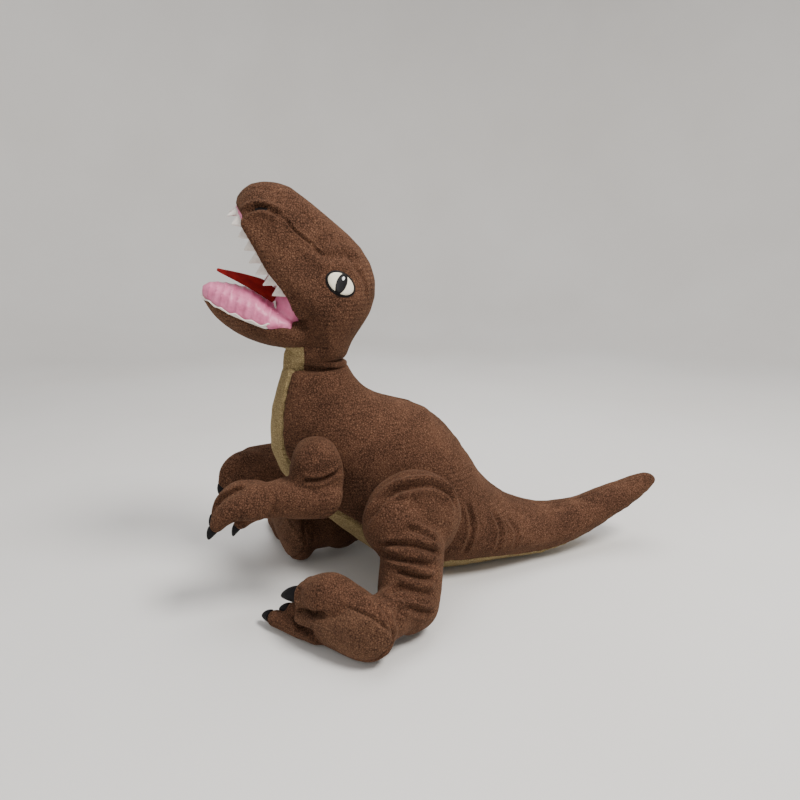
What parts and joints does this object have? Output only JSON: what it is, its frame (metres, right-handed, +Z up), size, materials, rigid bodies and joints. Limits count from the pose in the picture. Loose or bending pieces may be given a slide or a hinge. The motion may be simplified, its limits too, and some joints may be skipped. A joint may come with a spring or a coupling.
{
  "type": "stuffed dinosaur",
  "caption": "Sitting plush dinosaur with an open lined mouth, felt teeth and tongue, olive belly, black claws and a long tail; head, jaw, limbs and tail flex at stuffed seams.",
  "frame": {"origin": "middle of the flat seat panel, on the surface that the toy sits on", "axes": "+Z up, -Y the way the toy faces, +X the toy's left side"},
  "size_m": [0.3291, 0.5216, 0.4055],
  "materials": {
    "plush_brown": "short-pile plush with an embossed scale pattern",
    "plush_olive": "short-pile plush with an embossed scale pattern",
    "plush_sole": "short-pile plush",
    "satin_pink": "smooth satin-like lining",
    "felt_white": "thin felt",
    "felt_red": "felt",
    "claw_black": "padded smooth fabric",
    "eye_applique": "applique with embroidered outline",
    "stitching": "embroidery thread",
    "stuffing": "loose polyester fibre",
    "pellet_bag": "woven inner bag of plastic pellets"
  },
  "bodies": {
    "torso": {"torso_left_panel": "plush_brown", "torso_right_panel": "plush_brown", "belly_panel": "plush_olive", "seat_panel": "plush_olive", "torso_stuffing": "stuffing", "pellet_bag": "pellet_bag"},
    "neck": {"neck_sleeve": "plush_olive", "neck_stuffing": "stuffing"},
    "head": {"head_left_panel": "plush_brown", "head_right_panel": "plush_brown", "head_top_gusset": "plush_brown", "throat_panel": "plush_brown", "palate_lining": "satin_pink", "upper_teeth": "felt_white", "left_eye": "eye_applique", "right_eye": "eye_applique", "nostril_stitching": "stitching", "head_stuffing": "stuffing"},
    "jaw": {"jaw_skin": "plush_brown", "mouth_floor_lining": "satin_pink", "lower_teeth": "felt_white", "jaw_stuffing": "stuffing"},
    "tongue": {"tongue": "felt_red"},
    "left_upper_arm": {"left_upper_arm_skin": "plush_brown", "left_upper_arm_stuffing": "stuffing"},
    "left_forearm": {"left_forearm_skin": "plush_brown", "left_forearm_stuffing": "stuffing", "left_fingers": "plush_brown", "left_finger_claws": "claw_black"},
    "left_thigh": {"left_thigh_skin": "plush_brown", "left_thigh_stuffing": "stuffing"},
    "left_shin": {"left_shin_skin": "plush_brown", "left_shin_stuffing": "stuffing"},
    "left_foot": {"left_foot_skin": "plush_brown", "left_foot_sole": "plush_sole", "left_foot_stuffing": "stuffing", "left_toes": "plush_brown", "left_toe_claws": "claw_black"},
    "right_upper_arm": {"right_upper_arm_skin": "plush_brown", "right_upper_arm_stuffing": "stuffing"},
    "right_forearm": {"right_forearm_skin": "plush_brown", "right_forearm_stuffing": "stuffing", "right_fingers": "plush_brown", "right_finger_claws": "claw_black"},
    "right_thigh": {"right_thigh_skin": "plush_brown", "right_thigh_stuffing": "stuffing"},
    "right_shin": {"right_shin_skin": "plush_brown", "right_shin_stuffing": "stuffing"},
    "right_foot": {"right_foot_skin": "plush_brown", "right_foot_sole": "plush_sole", "right_foot_stuffing": "stuffing", "right_toes": "plush_brown", "right_toe_claws": "claw_black"},
    "tail_base": {"tail_base_skin": "plush_brown", "tail_base_underside": "plush_olive", "tail_base_stuffing": "stuffing"},
    "tail_tip": {"tail_tip_skin": "plush_brown", "tail_tip_underside": "plush_olive", "tail_tip_stuffing": "stuffing"}
  },
  "joints": [
    {"name": "neck_nod", "type": "hinge", "parent": "torso", "child": "neck", "pos_m": [0, -0.1295, 0.23], "axis": [1, 0, 0], "range_deg": [-8, 8], "stiffness_Nm_per_rad": 4},
    {"name": "head_turn", "type": "hinge", "parent": "neck", "child": "head", "pos_m": [0, -0.1295, 0.23], "axis": [0, 0.1771, 0.9842], "range_deg": [-25, 25], "stiffness_Nm_per_rad": 1.5},
    {"name": "jaw_hinge", "type": "hinge", "parent": "head", "child": "jaw", "pos_m": [0, -0.1515, 0.2805], "axis": [1, 0, 0], "range_deg": [-8, 15], "stiffness_Nm_per_rad": 0.8},
    {"name": "tongue_flex", "type": "hinge", "parent": "jaw", "child": "tongue", "pos_m": [0, -0.167, 0.299], "axis": [1, 0, 0], "range_deg": [-12, 6], "stiffness_Nm_per_rad": 0.03},
    {"name": "left_shoulder", "type": "hinge", "parent": "torso", "child": "left_upper_arm", "pos_m": [0.05072, -0.138, 0.15], "axis": [1, 0, 0], "range_deg": [-12, 12], "stiffness_Nm_per_rad": 0.8},
    {"name": "left_elbow", "type": "hinge", "parent": "left_upper_arm", "child": "left_forearm", "pos_m": [0.06972, -0.133, 0.117], "axis": [1, 0, 0], "range_deg": [0, 15], "stiffness_Nm_per_rad": 0.6},
    {"name": "right_shoulder", "type": "hinge", "parent": "torso", "child": "right_upper_arm", "pos_m": [-0.05072, -0.14, 0.143], "axis": [1, 0, 0], "range_deg": [-12, 12], "stiffness_Nm_per_rad": 0.8},
    {"name": "right_elbow", "type": "hinge", "parent": "right_upper_arm", "child": "right_forearm", "pos_m": [-0.06972, -0.138, 0.116], "axis": [1, 0, 0], "range_deg": [0, 15], "stiffness_Nm_per_rad": 0.6},
    {"name": "left_hip", "type": "hinge", "parent": "torso", "child": "left_thigh", "pos_m": [0.06, -0.0485, 0.093], "axis": [1, 0, 0], "range_deg": [-10, 5], "stiffness_Nm_per_rad": 2},
    {"name": "left_knee", "type": "hinge", "parent": "left_thigh", "child": "left_shin", "pos_m": [0.097, -0.054, 0.072], "axis": [1, 0, 0], "range_deg": [-8, 8], "stiffness_Nm_per_rad": 1},
    {"name": "left_ankle", "type": "hinge", "parent": "left_shin", "child": "left_foot", "pos_m": [0.126, -0.067, 0.031], "axis": [0, 0, 1], "range_deg": [-10, 10], "stiffness_Nm_per_rad": 0.8},
    {"name": "right_hip", "type": "hinge", "parent": "torso", "child": "right_thigh", "pos_m": [-0.06, -0.05, 0.094], "axis": [1, 0, 0], "range_deg": [-10, 5], "stiffness_Nm_per_rad": 2},
    {"name": "right_knee", "type": "hinge", "parent": "right_thigh", "child": "right_shin", "pos_m": [-0.081, -0.065, 0.045], "axis": [1, 0, 0], "range_deg": [-8, 8], "stiffness_Nm_per_rad": 1},
    {"name": "right_ankle", "type": "hinge", "parent": "right_shin", "child": "right_foot", "pos_m": [-0.053, -0.109, 0.029], "axis": [0, 0, -1], "range_deg": [-10, 10], "stiffness_Nm_per_rad": 0.8},
    {"name": "tail_swing", "type": "hinge", "parent": "torso", "child": "tail_base", "pos_m": [0, 0.022, 0.04], "axis": [0, 0, 1], "range_deg": [-12, 12], "stiffness_Nm_per_rad": 2},
    {"name": "tail_lift", "type": "hinge", "parent": "tail_base", "child": "tail_tip", "pos_m": [0, 0.127, 0.03], "axis": [1, 0, 0], "range_deg": [-8, 12], "stiffness_Nm_per_rad": 1}
  ]
}
